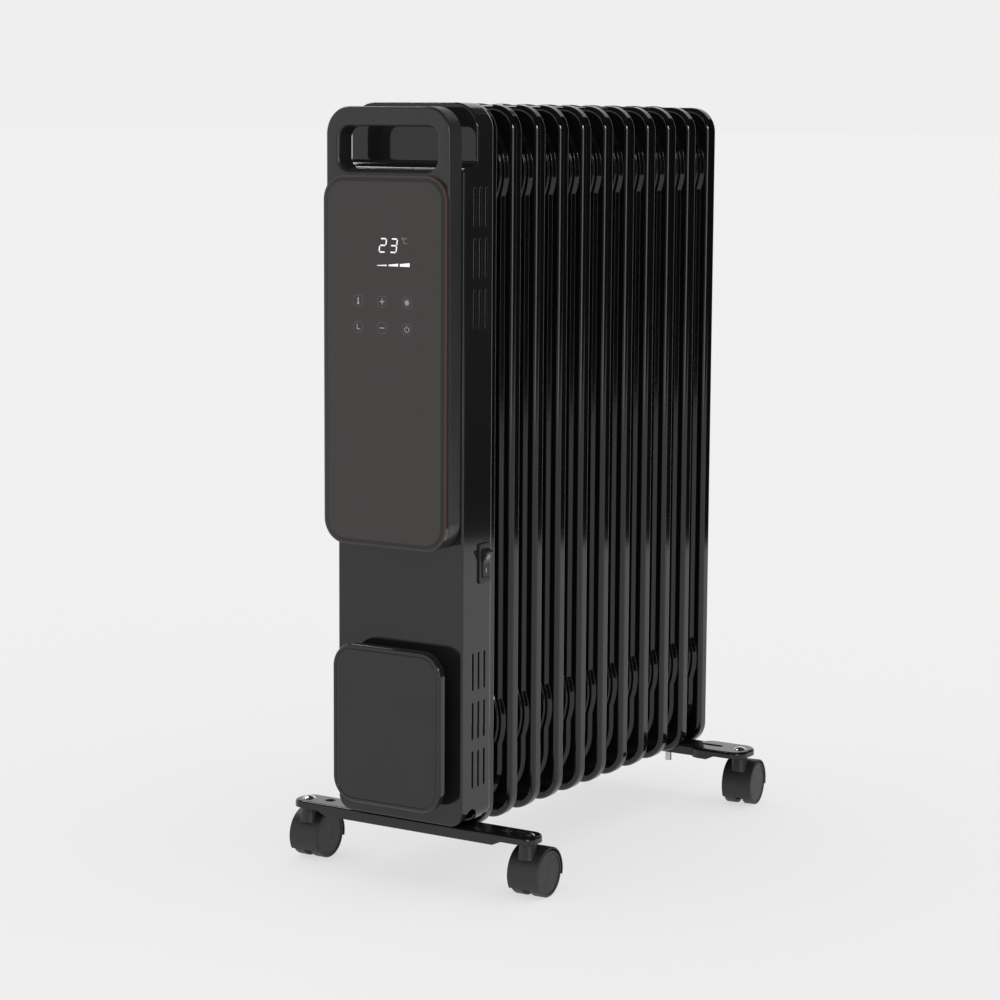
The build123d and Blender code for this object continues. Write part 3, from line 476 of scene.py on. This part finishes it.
def make_world():
    """Even studio light, a little brighter overhead so that the floor matches the backdrop."""
    world = bpy.data.worlds.new("studio")
    bpy.context.scene.world = world
    world.use_nodes = True
    tree = world.node_tree
    direction = tree.nodes.new("ShaderNodeTexCoord")
    parts = tree.nodes.new("ShaderNodeSeparateXYZ")
    tree.links.new(direction.outputs["Generated"], parts.inputs[0])
    ramp = tree.nodes.new("ShaderNodeMapRange")
    ramp.inputs["From Min"].default_value = 0.25
    ramp.inputs["From Max"].default_value = 0.8
    ramp.inputs["To Min"].default_value = HORIZON_LIGHT
    ramp.inputs["To Max"].default_value = ZENITH_LIGHT
    tree.links.new(parts.outputs["Z"], ramp.inputs["Value"])
    tree.links.new(ramp.outputs[0], tree.nodes["Background"].inputs["Strength"])
    tree.nodes["Background"].inputs["Color"].default_value = rgb(1.0)


make_world()


def reflection_card(name, corners, strength):
    """A panel that only shows in reflections: dark when strength is 0."""
    s = Shader(name)
    s.bsdf.inputs["Base Color"].default_value = rgb(0.0)
    s.bsdf.inputs["Specular IOR Level"].default_value = 0.0
    s.bsdf.inputs["Emission Color"].default_value = rgb(1.0)
    s.bsdf.inputs["Emission Strength"].default_value = strength
    card = sheet(name, corners, s.mat)
    card.visible_camera = False
    card.visible_diffuse = False
    card.visible_shadow = False
    card.visible_transmission = False
    return card


AZIMUTH = radians(32.608)
ELEVATION = radians(7.863)
ROLL = radians(0.343)
CAMERA_DISTANCE = 2.3748
LENS = 98.18
Y_MID = -(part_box("front_plate")[0].y)
AIM = Vector((-0.01979, 0.200 - Y_MID, 0.29820))

towards = Vector((sin(AZIMUTH) * cos(ELEVATION), -cos(AZIMUTH) * cos(ELEVATION), sin(ELEVATION)))
level_right = (-towards).cross(Vector((0, 0, 1))).normalized()
level_up = level_right.cross(-towards).normalized()
right = level_right * cos(ROLL) + level_up * sin(ROLL)
up = level_up * cos(ROLL) - level_right * sin(ROLL)
camera_data = bpy.data.cameras.new("camera")
camera_data.lens = LENS
camera_data.sensor_width = 36.0
camera_data.clip_end = 600.0
camera = bpy.data.objects.new("camera", camera_data)
bpy.context.scene.collection.objects.link(camera)
turn = Matrix((right, up, towards)).transposed().to_4x4()
camera.matrix_world = Matrix.Translation(AIM + towards * CAMERA_DISTANCE) @ turn
bpy.context.scene.camera = camera


def along(azimuth, distance):
    """A floor point seen from the heater's middle at an azimuth measured from +X."""
    return Vector((cos(azimuth) * distance, sin(azimuth) * distance, 0))


def standing_card(name, azimuth_deg, distance, width, low, high, strength):
    """An upright card facing the heater."""
    azimuth = radians(azimuth_deg)
    middle = along(azimuth, distance)
    side = Vector((-sin(azimuth), cos(azimuth), 0)) * width / 2
    corners = [middle - side + Vector((0, 0, low)), middle + side + Vector((0, 0, low)),
               middle + side + Vector((0, 0, high)), middle - side + Vector((0, 0, high))]
    return reflection_card(name, corners, strength)


def ceiling_card(name, x0, x1, y0, y1, z, strength):
    """A level card above the heater."""
    return reflection_card(name, [(x0, y0, z), (x1, y0, z), (x1, y1, z), (x0, y1, z)], strength)


# The dark cards keep the side faces of the gloss black steel dark; the lit ones draw the thin
# bright lines and the glints along its bends.
standing_card("dark_card_right_back", 59.0, 1.75, 1.15, 0.0, 3.5, 0.0)
standing_card("dark_card_right_front", -20.0, 3.75, 12.8, 0.0, 4.5, 0.0)
standing_card("light_strip_right", -41.0, 3.55, 1.5, 0.0, 1.36, 2.6)
standing_card("light_window_right", -37.0, 3.5, 1.1, 1.36, 1.85, 17.0)
ceiling_card("dark_ceiling", -4.0, 4.0, -4.0, 4.0, 3.2, 0.04)
ceiling_card("overhead_strip", -2.2, -1.1, -0.1, 0.6, 2.5, 9.0)

view = bpy.context.scene.view_settings
view.view_transform = "Standard"
view.look = "None"
